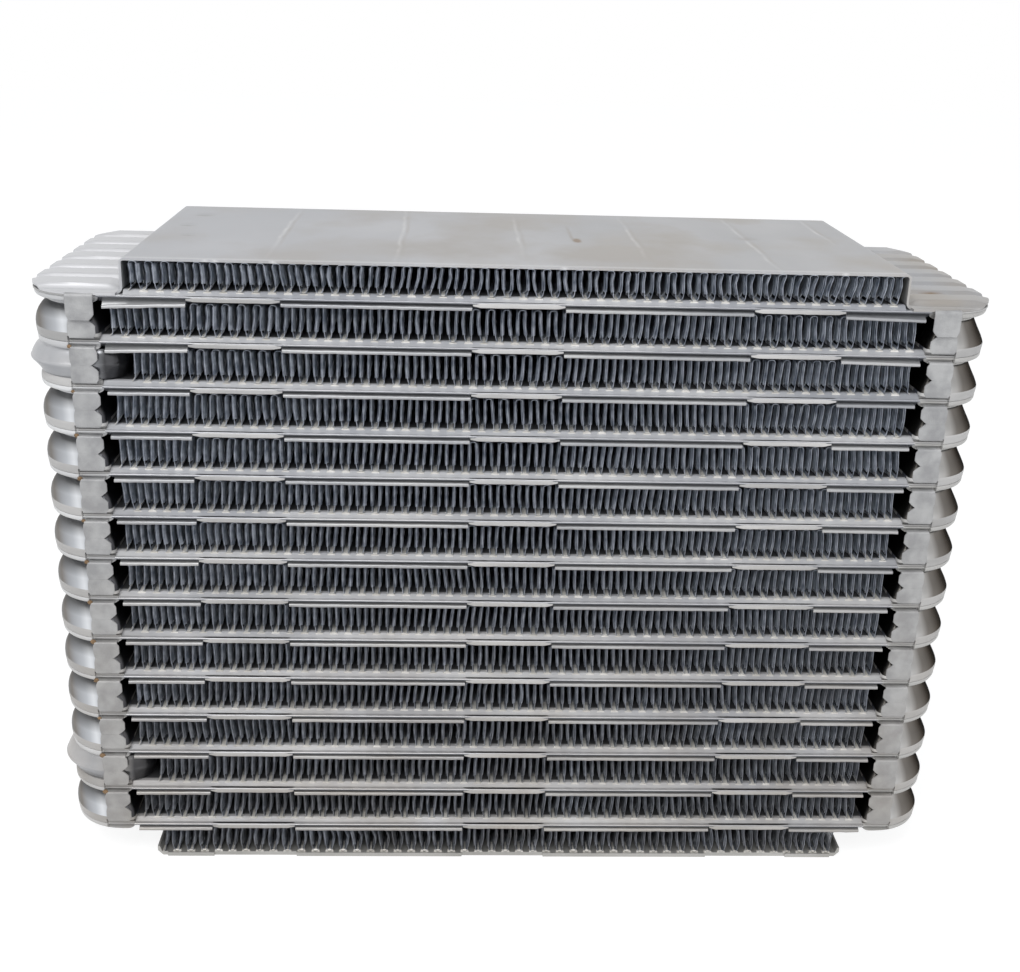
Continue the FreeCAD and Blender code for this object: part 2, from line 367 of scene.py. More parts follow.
def fin_row(row):
    """Folded foil with a band of louvres at the front and at the rear of each leg."""
    name = "fin_row_%02d" % row
    low, high = node_box(name)
    edge = FOIL / 2
    bottom = low[2] + edge
    top = high[2] - edge
    curves = leg_curves(row, low[0] + ROW_END_GAP, high[0] - ROW_END_GAP)
    line = fold_line(curves, bottom, top)
    band = SLATS * SLAT_PITCH
    depths = [low[1], low[1] + EDGE_STRIP, low[1] + EDGE_STRIP + band]
    depths += [high[1] - EDGE_STRIP - band, high[1] - EDGE_STRIP, high[1]]
    rng = random.Random(SEED * 50 + row)
    shape = Shape()
    bowed = [(place, lean, bow + INNER_BOW, curl) for place, lean, bow, curl in curves]
    inner_line = fold_line(bowed, bottom, top, INNER_FOLD_ANGLES, INNER_LEG_PARTS)
    for start, points, skin in ((0, line, EDGE_SKIN), (2, inner_line, INNER_SKIN), (4, line, EDGE_SKIN)):
        foil_strip(shape, points, depths[start:start + 2], low[2], high[2], skin)
    for start, turn, levels in ((1, SLAT_TURN, FRONT_SLAT_LEVELS), (3, -SLAT_TURN, REAR_SLAT_LEVELS)):
        y_range = depths[start:start + 2]
        for run in folds(line):
            foil_strip(shape, run, y_range, low[2], high[2], EDGE_SKIN)
        for curve in curves:
            for number in range(SLATS):
                outermost = number == 0 if turn > 0 else number == SLATS - 1
                skin = EDGE_SKIN if outermost else SLAT_SKIN
                y = y_range[0] + (number + 0.5) * SLAT_PITCH
                slant = turn + rng.uniform(-SLAT_SPREAD, SLAT_SPREAD)
                slat(shape, curve, y, bottom, top, slant, skin, levels)
    braze_feet(shape, curves, low[2], 0 if row == ROWS else FOOT_SINK, low[1], rng)
    shape.make("folded_" + name, "fin_foil", FIN_METALS, name)


# Tube plates. Each is shaped with its joint plane at height zero and its outer side up.

JOINT_LINE = 0.05
CHANNEL_FLANGE = 1.15
CHANNEL_SLOPE = 1.5
HAT_INSIDE = 102.3
LIP_RADIUS = 0.55
LIP_DROP = 0.75
LIP_SETBACK = 1.9
LIP_BOTTOM = SHEET + 1.25
LIP_REACH = FIN_REACH + 0.6
LIP_STEP = 2.0
DROOP_START = 60.0
NOTCH_CENTRES = (-74.0, 0, 74.0)
NOTCH_WIDTH = 24.5
CLINCH_BOTTOM = -0.85
CLINCH_SHEET = 0.35
CLINCH_PROUD = 0.15
CLINCH_RADIUS = 0.55
CLINCH_STEPS = 12
CLINCH_BEND = bend_steps(0, 30, 60, 90)
UPPER_CUP = 9.2
LOWER_CUP = PITCH - UPPER_CUP
CUP_INSET = 3.3
HALF_COLLAR = 4.0
PORT_CUP = PITCH / 2 - HALF_COLLAR
PORT_INSET = 0.85
TAB_START = CUP_INNER + 0.3
TAB_END = CUP_INNER + 8.5
FLANGE_RECESS = 1.5
TAB_RECESS = 2.3
FLANGE_TOP = SHEET + 0.06
CUP_INNER_CORNER = 1.5
CORNER_STEPS = 14
TONGUE_INNER = CUP_INNER + 1.0
TONGUE_WIDTH = 7.2
TONGUE_FOOT = 1.1
TONGUE_RADIUS = 0.55
TONGUE_CORNER = 0.9
TONGUE_BEND = bend_steps(0, 18, 36, 54, 72, 90)
TONGUE_GAP = 0.01
NOTCH_DEPTH = 1.7
NOTCH_HEIGHT = 1.55
NOTCH_STEPS = (0.0, 0.3, 0.55, 0.75, 0.9, 1.0)
RECESS_TOP = 1.6
WALL_START = 2.4
PLATE_SKIN, TAB_SKIN, LEFT_CUP_SKIN, RIGHT_CUP_SKIN, LIP_SKIN, RIM_SKIN = range(6)


def core_strip(shape, left, right, lipped, raised=True):
    """Flange and raised channel of a plate, or a flat stretch of it."""
    edge = FRONT + (LIP_SETBACK if lipped else 0)
    half = [(edge + 0.02, JOINT_LINE), (edge, JOINT_LINE + 0.1), (edge, SHEET - 0.15), (edge + 0.15, SHEET)]
    foot = max(FRONT + CHANNEL_FLANGE, edge + 0.2)
    if raised:
        half += [(foot, SHEET), (foot + 0.25, SHEET + 0.08), (foot + CHANNEL_SLOPE - 0.3, HALF_TUBE - 0.12)]
        half += [(foot + CHANNEL_SLOPE, HALF_TUBE)]
    profile = half + [(-y, z) for y, z in reversed(half)]
    rings = [[(x, y, z) for y, z in reversed(profile)] for x in (left, right)]
    shape.add_rings(rings, PLATE_SKIN)


def tank_ring(side, inset, z):
    """Plan of a tank at one height, set back behind the tabs at the front."""
    inner = CUP_INNER + inset
    outer = TANK_REACH - inset
    front = FRONT + inset
    radius = TANK_CORNER - inset
    centre = TANK_REACH - TANK_CORNER

    def on_corner(x):
        return front + radius - math.sqrt(radius ** 2 - max(x - centre, 0) ** 2)

    if z < RECESS_TOP:
        back = FRONT + (FLANGE_RECESS if z < FLANGE_TOP else TAB_RECESS)
        small = 0.3
        start = max(TAB_START, inner + CUP_INNER_CORNER)
        points = corner_points(inner, back, 1, 1, small, 180, 4)
        points += [(x, back) for x in (start, centre, centre + 2.5, TAB_END - 0.3)]
    else:
        small = CUP_INNER_CORNER
        points = corner_points(inner, front, 1, 1, small, 180, 4)
        points += [(x, on_corner(x)) for x in (inner + small + 0.1, centre, centre + 2.5, TAB_END - 0.3)]
    points.append((TAB_END, on_corner(TAB_END)))
    first = math.degrees(math.asin((TAB_END + 0.2 - centre) / radius))
    for step in range(CORNER_STEPS + 1):
        angle = math.radians(270 + first + (90 - first) * step / CORNER_STEPS)
        points.append((centre + radius * math.cos(angle), front + radius * (1 + math.sin(angle))))
    points += corner_points(outer, -front, -1, -1, radius, 0, CORNER_STEPS)
    points += corner_points(inner, -front, 1, -1, CUP_INNER_CORNER, 90, 4)
    ring = at_height(points, z)
    return ring if side > 0 else [(-x, y, z) for x, y, z in reversed(ring)]


# Insets and heights of the drawn shapes, from the joint plane on
RIM = [
    (0.36, JOINT_LINE), (0.26, 0.2), (0.2, 0.5), (0.18, 0.62), (0.12, 1.0), (0.06, 1.58), (0.03, 1.66), (0.03, 2.3),
]
WALLS = {
    -1: [(0.05, 2.5), (0.02, 3.2), (0.12, 4.2), (0.42, 5.4), (1.0, 6.6), (1.7, 7.6), (2.4, 8.35), (2.95, 8.8)],
    1: [(0.08, 2.5), (0.3, 3.1), (0.8, 4.2), (1.45, 5.4), (2.1, 6.6), (2.6, 7.6), (2.95, 8.35), (3.15, 8.8)],
}
LOW_RIM = [(0.36, JOINT_LINE), (0.28, 0.2), (0.3, 0.5), (0.31, 0.62), (0.34, 0.9), (0.6, 1.35), (1.1, HALF_TUBE)]


def cup_profile(kind, side):
    """Insets and heights from the joint plane to the cup's mouth."""
    if kind == "flat":
        return [(0.06, JOINT_LINE), (0.0, 0.12), (0.0, SHEET - 0.12), (0.12, SHEET)]
    if kind == "tray":
        return LOW_RIM[:5] + [(0.55, 1.4), (0.9, HALF_TUBE)]
    if kind == "port":
        mouth = [(PORT_INSET, PORT_CUP - 0.1), (PORT_INSET + 0.1, PORT_CUP)]
        return LOW_RIM[:5] + [(0.4, 1.3), (0.6, HALF_TUBE)] + mouth
    if kind == "upper":
        return RIM + WALLS[side] + [(CUP_INSET, UPPER_CUP - 0.12), (CUP_INSET + 0.15, UPPER_CUP)]
    profile = LOW_RIM + [(CUP_INSET - 0.7, HALF_TUBE + 0.1), (CUP_INSET, HALF_TUBE + 0.5)]
    return profile + [(CUP_INSET, LOWER_CUP - 0.12), (CUP_INSET + 0.15, LOWER_CUP)]


def tank(shape, side, kind):
    """Rim and drawn cup at one end of a plate."""
    profile = cup_profile(kind, side)
    rings = [tank_ring(side, inset, z) for inset, z in profile]
    wall = LEFT_CUP_SKIN if side < 0 else RIGHT_CUP_SKIN
    skins = [wall if z >= WALL_START else RIM_SKIN for _, z in profile[:-1]]
    shape.add_rings(rings, skins)


def tongue_ring(side, inner, outer, front, back):
    """Cross section of a tongue with softened edges, from its front and back points as (y, z)."""
    soft = 0.12
    towards = [(b - f) * soft / SHEET for f, b in zip(front, back)]
    near = (front[0] + towards[0], front[1] + towards[1])
    far = (back[0] - towards[0], back[1] - towards[1])
    ring = [
        (inner, *near), (inner + soft, *front), (outer - soft, *front), (outer, *near),
        (outer, *far), (outer - soft, *back), (inner + soft, *back), (inner, *far),
    ]
    return ring if side > 0 else [(-x, y, z) for x, y, z in reversed(ring)]


def share_between(value, low, high):
    """Zero at low, one at high, and no more or less beyond them."""
    return min(max((value - low) / (high - low), 0), 1)


def tongue_span(z, start, height, hanging):
    """Inner and outer x of a tongue at one height: round where it leaves the bend, narrower at its end."""
    cut = share_between(z, height - NOTCH_HEIGHT, height) ** 1.2
    if hanging:
        return TONGUE_INNER + 1.2 * cut, TONGUE_INNER + TONGUE_WIDTH - 0.7 * cut
    corner = 1 - share_between(z, start, start + TONGUE_CORNER)
    inner = TONGUE_INNER + 0.5 * corner ** 2 + NOTCH_DEPTH * cut
    return inner, TONGUE_INNER + TONGUE_WIDTH - 0.3 * corner ** 2 - 0.35 * cut


def tongue(shape, side, front, foot, height, radius=TONGUE_RADIUS, hanging=False):
    """Tongue that comes out below the plate's edge, bends and stands on it, notched on the side of the fins."""
    deep = front + TAB_RECESS + 0.4
    path = [((deep, foot), (deep, foot + SHEET))]
    centre = (front + radius, foot + radius)
    inside = radius - SHEET
    for sine, cosine in TONGUE_BEND:
        path.append((
            (centre[0] - radius * sine, centre[1] - radius * cosine),
            (centre[0] - inside * sine, centre[1] - inside * cosine),
        ))
    start = foot + radius
    levels = [start + rise * TONGUE_CORNER for rise in (0.3, 0.65, 1.0)]
    levels += [height - NOTCH_HEIGHT * (1 - part) for part in NOTCH_STEPS]
    path += [((front, z), (front + SHEET, z)) for z in levels]
    rings = []
    for face, back in path:
        inner, outer = tongue_span(face[1], start, height, hanging)
        rings.append(tongue_ring(side, inner, outer, face, back))
    shape.add_rings(rings, TAB_SKIN)


def lip_spans():
    """Left and right ends of the lips between the joint notches."""
    edges = [-LIP_REACH]
    for centre in NOTCH_CENTRES:
        edges += [centre - NOTCH_WIDTH / 2, centre + NOTCH_WIDTH / 2]
    edges.append(LIP_REACH)
    return list(zip(edges[::2], edges[1::2]))


def droop(tube, x):
    """How far the lip hangs away from the joint near the ends of the first tubes."""
    left, right = {1: (1.3, 0.8), 2: (0.9, 0.6)}.get(tube, (0.15, 0.1))
    share = max((abs(x) - DROOP_START) / (LIP_REACH - DROOP_START), 0)
    return (left if x < 0 else right) * share ** 1.6


def front_lip(shape, tube, span, rng):
    """Edge of a lower plate that is bent away from the joint, up to its rounded free edge."""
    count = max(2, round((span[1] - span[0]) / LIP_STEP))
    rings = []
    for step in range(count + 1):
        x = span[0] + (span[1] - span[0]) * step / count
        sag = droop(tube, x) + rng.uniform(-0.04, 0.04)
        drop = LIP_BOTTOM + rng.uniform(-0.05, 0.05)
        proud = FRONT + rng.uniform(0, 0.06)
        centre = (proud + LIP_RADIUS, JOINT_LINE + LIP_DROP + LIP_RADIUS)
        inside = LIP_RADIUS - SHEET
        outer = [(proud + LIP_SETBACK + 0.3, JOINT_LINE)]
        inner = [(proud + LIP_SETBACK + 0.3, JOINT_LINE + SHEET)]
        for sine, cosine in BEND:
            outer.append((centre[0] - LIP_RADIUS * sine, centre[1] - LIP_RADIUS * cosine + sag))
            inner.append((centre[0] - inside * sine, centre[1] - inside * cosine + sag))
        outer += [(proud, drop + sag - 0.15), (proud + 0.15, drop + sag)]
        inner += [(proud + SHEET, drop + sag - 0.15), (proud + SHEET - 0.15, drop + sag)]
        rings.append([(x, y, z) for y, z in inner + outer[::-1]])
    shape.add_rings(rings, LIP_SKIN)


def clinch_strip(shape, centre, rng):
    """Edge of the upper plate that is rolled over the lower one in a joint notch."""
    left = centre - NOTCH_WIDTH / 2 + 0.2
    right = centre + NOTCH_WIDTH / 2 - 0.2
    inside = CLINCH_RADIUS - CLINCH_SHEET
    rings = []
    for step in range(CLINCH_STEPS + 1):
        x = left + (right - left) * step / CLINCH_STEPS
        at_end = step in (0, CLINCH_STEPS)
        proud = FRONT - CLINCH_PROUD + (0.25 if at_end else rng.uniform(0, 0.05))
        bottom = CLINCH_BOTTOM + rng.uniform(-0.05, 0.05) + (0.35 if at_end else 0)
        middle = (proud + CLINCH_RADIUS, SHEET - CLINCH_RADIUS)
        outer = [(middle[0] + 0.9, SHEET)]
        inner = [(middle[0] + 0.9, SHEET - CLINCH_SHEET)]
        for sine, cosine in CLINCH_BEND:
            outer.append((middle[0] - CLINCH_RADIUS * sine, middle[1] + CLINCH_RADIUS * cosine))
            inner.append((middle[0] - inside * sine, middle[1] + inside * cosine))
        outer += [(proud, bottom + 0.12), (proud + 0.1, bottom)]
        inner += [(proud + CLINCH_SHEET, bottom + 0.12), (proud + CLINCH_SHEET - 0.1, bottom)]
        rings.append([(x, y, z) for y, z in outer + inner[::-1]])
    shape.add_rings(rings, RIM_SKIN)


def tank_kind(tube, below, side):
    """Which profile the tank of a plate has at one end."""
    if tube == 1 and not below:
        return "flat"
    if tube == TUBES and below:
        return "tray"
    tier = tube if below else tube - 1
    if side < 0 and tier in PORT_TIERS.values():
        return "port"
    return "lower" if below else "upper"


def stamped_plate(tube, below):
    """One plate of a tube with its channel, tank cups, tongues and lips or rolled strips."""
    rng = random.Random(SEED * 1000 + tube * 2 + below)
    shape = Shape()
    under_hat = tube == 1 and not below
    last = tube == TUBES and below
    channel_end = HAT_INSIDE if under_hat else TAB_START
    core_strip(shape, -channel_end, channel_end, below)
    if under_hat:
        core_strip(shape, -TAB_START, -channel_end, below, raised=False)
        core_strip(shape, channel_end, TAB_START, below, raised=False)
    for side in (-1, 1):
        tank(shape, side, tank_kind(tube, below, side))
        if tube > 1 and not last:
            tongue(shape, side, FRONT, TONGUE_FOOT, PITCH / 2 - TONGUE_GAP)
    if below:
        for span in lip_spans():
            front_lip(shape, tube, span, rng)
        shape.turn_over()
    else:
        for centre in NOTCH_CENTRES:
            clinch_strip(shape, centre, rng)
    shape.raise_by(joint_height(tube))
    node = "tube_%02d_%s_plate" % (tube, "lower" if below else "upper")
    shape.make("stamped_" + node, "tube_plate", LOWER_METALS if below else UPPER_METALS, node)


# Top plate

HAT_SHEET = 0.6
HAT_BEND = 1.2
HAT_REACH = 103.0
ROOF_HALF = 45.25
ROOF_STEP = 1.5
RIB_COUNT = 7
RIB_MARGIN = 3.85
RIB_HEIGHT = 1.4
RIB_SIDE = 1.7
RIB_GROOVE = 2.0
DENTS = [(-93.0, 28.3, 3.4, 0.40), (-94.8, 9.0, 3.0, 0.35), (-91.7, -8.0, 2.6, 0.25), (69.0, 6.0, 5.0, 0.12)]
CREASES = [(-66.0, 32, -23), (-32.3, 37, -25), (1.3, 26, -18), (34.9, 27, -16), (68.4, 30, -35), (93.8, 37, 8)]
CREASE_WIDTH = 1.1
CREASE_DEPTH = 0.12
CHIPS = (-81.0, -78.5, -63.7, 11.6, 85.4)
EAR_STEPS = 180
EAR_SHARES = (0, 0.05, 0.1, 0.15, 0.6, 0.85, 0.93, 1.0)
RIB_RUN_IN = 0.13
RIB_RUN_OUT = 0.15
RIB_END_DROP = 0.45
HAT_TONGUE_SINK = 0.07
HAT_TONGUE_RADIUS = 1.0


def roof_height(x, y):
    """How far the roof stands above or below its plane, from its dents and creases."""
    drop = 0.0
    for centre_x, centre_y, radius, depth in DENTS:
        away = math.hypot(x - centre_x, y - centre_y) / radius
        if away < 1:
            drop -= depth * math.cos(math.pi / 2 * away) ** 2
    for crease_x, rear, front in CREASES:
        away = abs(x - crease_x - 0.5 * math.sin(y / 9)) / CREASE_WIDTH
        if away < 1 and front < y < rear:
            drop -= CREASE_DEPTH * (1 - away)
    return drop


def roof(shape, top, ear_top):
    """Roof and end walls with their bends, as one sheet."""
    flat = HAT_REACH - HAT_BEND
    half = []
    corner = (flat, top - HAT_BEND)
    inside = HAT_BEND - HAT_SHEET
    for sine, cosine in BEND:
        half.append((
            (corner[0] + HAT_BEND * sine, corner[1] + HAT_BEND * cosine),
            (corner[0] + inside * sine, corner[1] + inside * cosine),
        ))
    foot = (HAT_REACH + HAT_BEND, ear_top + HAT_BEND)
    under = HAT_BEND + HAT_SHEET
    for sine, cosine in BEND:
        half.append((
            (foot[0] - HAT_BEND * cosine, foot[1] - HAT_BEND * sine),
            (foot[0] - under * cosine, foot[1] - under * sine),
        ))
    count = round(2 * flat / ROOF_STEP)
    middle = [-flat + 2 * flat * i / count for i in range(1, count)]
    stations = [((-a[0], a[1]), (-b[0], b[1])) for a, b in reversed(half)]
    stations += [((x, top), (x, top - HAT_SHEET)) for x in middle]
    stations += half
    rows = round(2 * ROOF_HALF / ROOF_STEP)
    depths = [-ROOF_HALF + 2 * ROOF_HALF * i / rows for i in range(rows + 1)]
    grids = []
    for surface in (0, 1):
        grid = []
        for station in stations:
            x, z = station[surface]
            on_roof = abs(station[0][0]) < flat
            grid.append([(x, y, z + (roof_height(x, y) if on_roof else 0)) for y in depths])
        grids.append(np.array(grid))
    shape.add_sheet(*grids)


def rib_height(y):
    """Height of the ribs across an ear, with flat crowns and narrow grooves."""
    pitch = 2 * (-FRONT - RIB_MARGIN) / RIB_COUNT
    start = -RIB_COUNT * pitch / 2
    if not start < y < -start:
        return 0.0
    place = (y - start) % pitch
    edge = min(place, pitch - place) - RIB_GROOVE / 2
    share = min(max(edge / RIB_SIDE, 0), 1)
    return RIB_HEIGHT * share * share * (3 - 2 * share)


def ear_end(y):
    """Outer end of an ear at one depth, round at its corners."""
    past = abs(y) - (-FRONT - TANK_CORNER)
    if past <= 0:
        return TANK_REACH
    return TANK_REACH - TANK_CORNER + math.sqrt(max(TANK_CORNER ** 2 - past ** 2, 0))


def ear(shape, side, ear_top):
    """Ribbed flange that lies on the tank, with ribs that are hollow below and open at the outer end."""
    start = HAT_REACH + HAT_BEND - 0.3
    depths = [FRONT + (REAR - FRONT) * i / EAR_STEPS for i in range(EAR_STEPS + 1)]
    upper, lower = [], []
    for y in depths if side > 0 else depths[::-1]:
        end = max(ear_end(y), start + 4)
        over, under = [], []
        for share in EAR_SHARES:
            x = start + (end - start) * share
            fall = RIB_END_DROP * max(share - 1 + RIB_RUN_OUT, 0) / RIB_RUN_OUT
            rise = rib_height(y) * min(share / RIB_RUN_IN, 1) * (1 - fall)
            over.append((side * x, y, ear_top + rise))
            under.append((side * x, y, ear_top + rise - HAT_SHEET))
        upper.append(over)
        lower.append(under)
    shape.add_sheet(np.array(lower), np.array(upper))


def hat_tongue(shape, side, ear_top, low):
    """Tongue that hangs from the front of an ear, bent over the edges of the first tube."""
    piece = Shape()
    front = node_box("top_side_plate")[0][1]
    tongue(piece, side, front, HAT_TONGUE_SINK, ear_top - low, HAT_TONGUE_RADIUS, hanging=True)
    piece.turn_over()
    piece.raise_by(ear_top)
    shape.add(piece.vertices, piece.faces, 1)


def top_plate():
    """Roof, ears and hanging tongues of the top side plate."""
    name = "top_side_plate"
    low, high = node_box(name)
    ear_top = joint_height(1) + SHEET + HAT_SHEET
    shape = Shape()
    roof(shape, high[2], ear_top)
    for side in (-1, 1):
        ear(shape, side, ear_top)
        hat_tongue(shape, side, ear_top, low[2])
    shape.make("hat_" + name, "side_plate", [ROOF_METAL, TAB_METAL], name)


# Port collars

COLLAR_PROFILE = [
    (2.9, 0.0), (2.6, 0.4), (2.1, 1.3), (1.75, 1.6), (1.5, 1.9), (0.75, 2.7), (0.2, 3.2), (0.0, 3.55),
    (0.0, 3.9), (0.12, 4.1), (0.3, 4.2), (0.45, 4.9), (1.0, 5.9), (1.6, 6.8), (2.3, 7.3), (2.9, 7.6), (3.1, 8.0),
]


COLLAR_CORNERS = {"front_left": 15.5, "right": 6.0, "rear_left": 9.5}
SLOT_HALF = 5.5
SLOT_END = 15.4
DUCT_HALF = 2.1


def cut_box(piece, low, high):
    """Cuts a box out of a piece."""
    mesh = bpy.data.meshes.new("cutter")
    xs, ys, zs = [(a * MM, b * MM) for a, b in zip(low, high)]
    corners = [(x, y, z) for z in zs for y in ys for x in xs]
    faces = [(0, 2, 3, 1), (4, 5, 7, 6), (0, 1, 5, 4), (2, 6, 7, 3), (0, 4, 6, 2), (1, 3, 7, 5)]
    mesh.from_pydata(corners, [], faces)
    cutter = bpy.data.objects.new("cutter", mesh)
    bpy.context.scene.collection.objects.link(cutter)
    change = piece.modifiers.new("cut", "BOOLEAN")
    change.operation = "DIFFERENCE"
    change.solver = "EXACT"
    change.object = cutter
    graph = bpy.context.evaluated_depsgraph_get()
    result = bpy.data.meshes.new_from_object(piece.evaluated_get(graph))
    piece.modifiers.clear()
    piece.data = result
    bpy.data.objects.remove(cutter)


def port_collar(port):
    """Block between two cups with a swollen side, a slot through it and a duct to the stub pipe."""
    name = port + "_port_collar"
    low, high = node_box(name)
    shape = Shape()
    rings = []
    for inset, z in COLLAR_PROFILE:
        left, right = low[0] + inset, high[0] - 0.3 * inset
        front = low[1] + 0.35 * inset
        rear = high[1] - 0.35 * inset
        points = corner_points(left, front, 1, 1, COLLAR_CORNERS["front_left"] - 0.5 * inset, 180, 16)
        points += corner_points(right, front, -1, 1, COLLAR_CORNERS["right"], 270, 8)
        points += corner_points(right, rear, -1, -1, COLLAR_CORNERS["right"], 0, 8)
        points += corner_points(left, rear, 1, -1, COLLAR_CORNERS["rear_left"], 90, 12)
        rings.append(at_height(points, low[2] + z))
    shape.add_rings(rings)
    piece = shape.make("swollen_" + name, "port_fitting", [PORT_METAL], name)
    pipe_low, pipe_high = node_box(port + "_stub_pipe")
    x, _, z = (pipe_low + pipe_high) / 2
    slot_low = (x - SLOT_HALF, low[1] + SLOT_END, low[2] - 1)
    slot_high = (x + SLOT_HALF, high[1] - SLOT_END, high[2] + 1)
    cut_box(piece, slot_low, slot_high)
    cut_box(piece, (x - DUCT_HALF, 0, z - DUCT_HALF), (x + DUCT_HALF, high[1] + 1, z + DUCT_HALF))


# Flux residue

FLUX_TUBES = range(2, TUBES)
FLUX_LEVELS = (-0.9, -0.45, 0.0, 0.45, 0.9)
FLUX_SIDES = 10
FLUX_BELOW = 1.1


def flux_spots():
    """Brown beads of burnt flux in the upper outer corners of the left tabs."""
    rng = random.Random(SEED)
    shape = Shape()
    for tube in FLUX_TUBES:
        centre = (-TONGUE_INNER - TONGUE_WIDTH + 0.1, FRONT + 0.5, joint_height(tube) - FLUX_BELOW)
        size = rng.uniform(0.45, 0.75)
        rings = []
        for level in FLUX_LEVELS:
            radius = size * math.sqrt(1 - level * level) * rng.uniform(0.85, 1.15)
            ring = []
            for step in range(FLUX_SIDES):
                angle = 2 * math.pi * step / FLUX_SIDES
                ring.append((
                    centre[0] + radius * math.cos(angle) * 1.2,
                    centre[1] + radius * math.sin(angle) * 0.7,
                    centre[2] + size * level,
                ))
            rings.append(ring)
        shape.add_rings(rings)
    return shape


# Materials

def new_material(name):
    material = bpy.data.materials.new(name)
    material.use_nodes = True
    tree = material.node_tree
    tree.nodes.clear()
    output = tree.nodes.new("ShaderNodeOutputMaterial")
    shader = tree.nodes.new("ShaderNodeBsdfPrincipled")
    tree.links.new(shader.outputs["BSDF"], output.inputs["Surface"])
    return material, tree, shader


def noise(tree, place, scale, detail=4, stretch=(1, 1, 1)):
    """Noise value over the object's own coordinates."""
    spread = tree.nodes.new("ShaderNodeMapping")
    spread.inputs["Scale"].default_value = stretch
    tree.links.new(place, spread.inputs["Vector"])
    texture = tree.nodes.new("ShaderNodeTexNoise")
    texture.inputs["Scale"].default_value = scale
    texture.inputs["Detail"].default_value = detail
    tree.links.new(spread.outputs["Vector"], texture.inputs["Vector"])
    return texture.outputs["Fac"]


def remap(tree, value, low, high, to_low, to_high):
    change = tree.nodes.new("ShaderNodeMapRange")
    change.inputs["From Min"].default_value = low
    change.inputs["From Max"].default_value = high
    change.inputs["To Min"].default_value = to_low
    change.inputs["To Max"].default_value = to_high
    tree.links.new(value, change.inputs["Value"])
    return change.outputs["Result"]


def math_node(tree, operation, first, second):
    node = tree.nodes.new("ShaderNodeMath")
    node.operation = operation
    for socket, value in zip(node.inputs, (first, second)):
        if isinstance(value, float):
            socket.default_value = value
        else:
            tree.links.new(value, socket)
    return node.outputs[0]


def product(tree, first, *others):
    for other in others:
        first = math_node(tree, "MULTIPLY", first, other)
    return first


def mix_color(tree, factor, first, second):
    node = tree.nodes.new("ShaderNodeMix")
    node.data_type = "RGBA"
    for socket, value in zip((node.inputs["Factor"], node.inputs[6], node.inputs[7]), (factor, first, second)):
        if isinstance(value, tuple):
            socket.default_value = (*value, 1)
        elif isinstance(value, float):
            socket.default_value = value
        else:
            tree.links.new(value, socket)
    return node.outputs[2]


BUMP_DISTANCE = 0.0002
WARM = (0.30, 0.25, 0.19)
# Dark tint that the fins take on low down: a painted shade on the lower rows.
LOW_FIN_SHADE = (0.09, 0.08, 0.07)


def metal(name, dark, light, metallic, roughness, grain, bump, warm=0.0, tint=WARM, stretch=(1, 1, 1), marks_and_shade=None,
          edge_tint=1.0):
    """Aluminium with cloudy colour, fine grain, a tint low down (a warm one, and on the fins a painted shade) and
    slightly uneven gloss.
    """
    material, tree, shader = new_material(name)
    links = tree.links
    place = tree.nodes.new("ShaderNodeTexCoord").outputs["Object"]
    cloud = noise(tree, place, grain, 5, stretch)
    color = mix_color(tree, remap(tree, cloud, 0.35, 0.65, 0, 1), dark, light)
    parts = tree.nodes.new("ShaderNodeSeparateXYZ")
    links.new(place, parts.inputs["Vector"])
    if warm:
        low_down = remap(tree, parts.outputs["Z"], 130 * MM, 20 * MM, 0.0, warm)
        patch = remap(tree, noise(tree, place, 70, 3), 0.3, 0.7, 0.4, 1.2)
        color = mix_color(tree, product(tree, low_down, patch), color, tint)
    # Stains, and painted light and shade by place and by the way a surface faces, that some materials add.
    if marks_and_shade:
        color = marks_and_shade(tree, place, parts, color)
    links.new(color, shader.inputs["Base Color"])
    shader.inputs["Metallic"].default_value = metallic
    shader.inputs["Specular Tint"].default_value = (edge_tint, edge_tint, edge_tint, 1)
    links.new(remap(tree, cloud, 0.3, 0.7, roughness - 0.07, roughness + 0.07), shader.inputs["Roughness"])
    height = tree.nodes.new("ShaderNodeBump")
    height.inputs["Strength"].default_value = bump
    height.inputs["Distance"].default_value = BUMP_DISTANCE
    links.new(noise(tree, place, grain * 12, 3, stretch), height.inputs["Height"])
    links.new(height.outputs["Normal"], shader.inputs["Normal"])
    return material


def facing(tree, place):
    """The three parts of the direction in which the surface looks."""
    parts = tree.nodes.new("ShaderNodeSeparateXYZ")
    tree.links.new(place.node.outputs["Normal"], parts.inputs["Vector"])
    return parts.outputs


def near(tree, axis, centre, half):
    """One at the centre along an axis, in millimetres, falling to zero at half on both sides."""
    away = math_node(tree, "ABSOLUTE", math_node(tree, "SUBTRACT", axis, centre * MM), 0.0)
    return remap(tree, away, 0.0, half * MM, 1.0, 0.0)


def between(tree, axis, low, high, soft=0.4):
    """One between two places along an axis, in millimetres, with soft ends."""
    rise = remap(tree, axis, low * MM, (low + soft) * MM, 0.0, 1.0)
    fall = remap(tree, axis, high * MM, (high - soft) * MM, 0.0, 1.0)
    return product(tree, rise, fall)


BROWN = (0.22, 0.16, 0.11)
CHIP_COLOR = (0.66, 0.66, 0.66)

# Lines along a crease, a painted highlight and a painted shade: how far aside, half width, strength and colour
CREASE_LINES = ((0.0, 0.8, 0.6, (0.66, 0.65, 0.64)), (1.2, 0.8, 0.5, (0.30, 0.26, 0.22)))
CREASE_WANDER = 0.0024

# Brown stains: middle, half length along each axis, and strength
STAINS = (
    (18.2, -3.7, 1.5, 4.6, 2.4), (17.0, 9.0, 0.8, 16.0, 0.9), (69.0, 6.0, 4.0, 4.0, 0.5), (114.3, -29.6, 4.0, 1.0, 1.6),
)


def spot(tree, parts, centre, half):
    """One at a place of the roof, falling to zero at half on all sides."""
    return product(tree, *(near(tree, parts.outputs[axis], c, h) for axis, c, h in zip("XY", centre, half)))


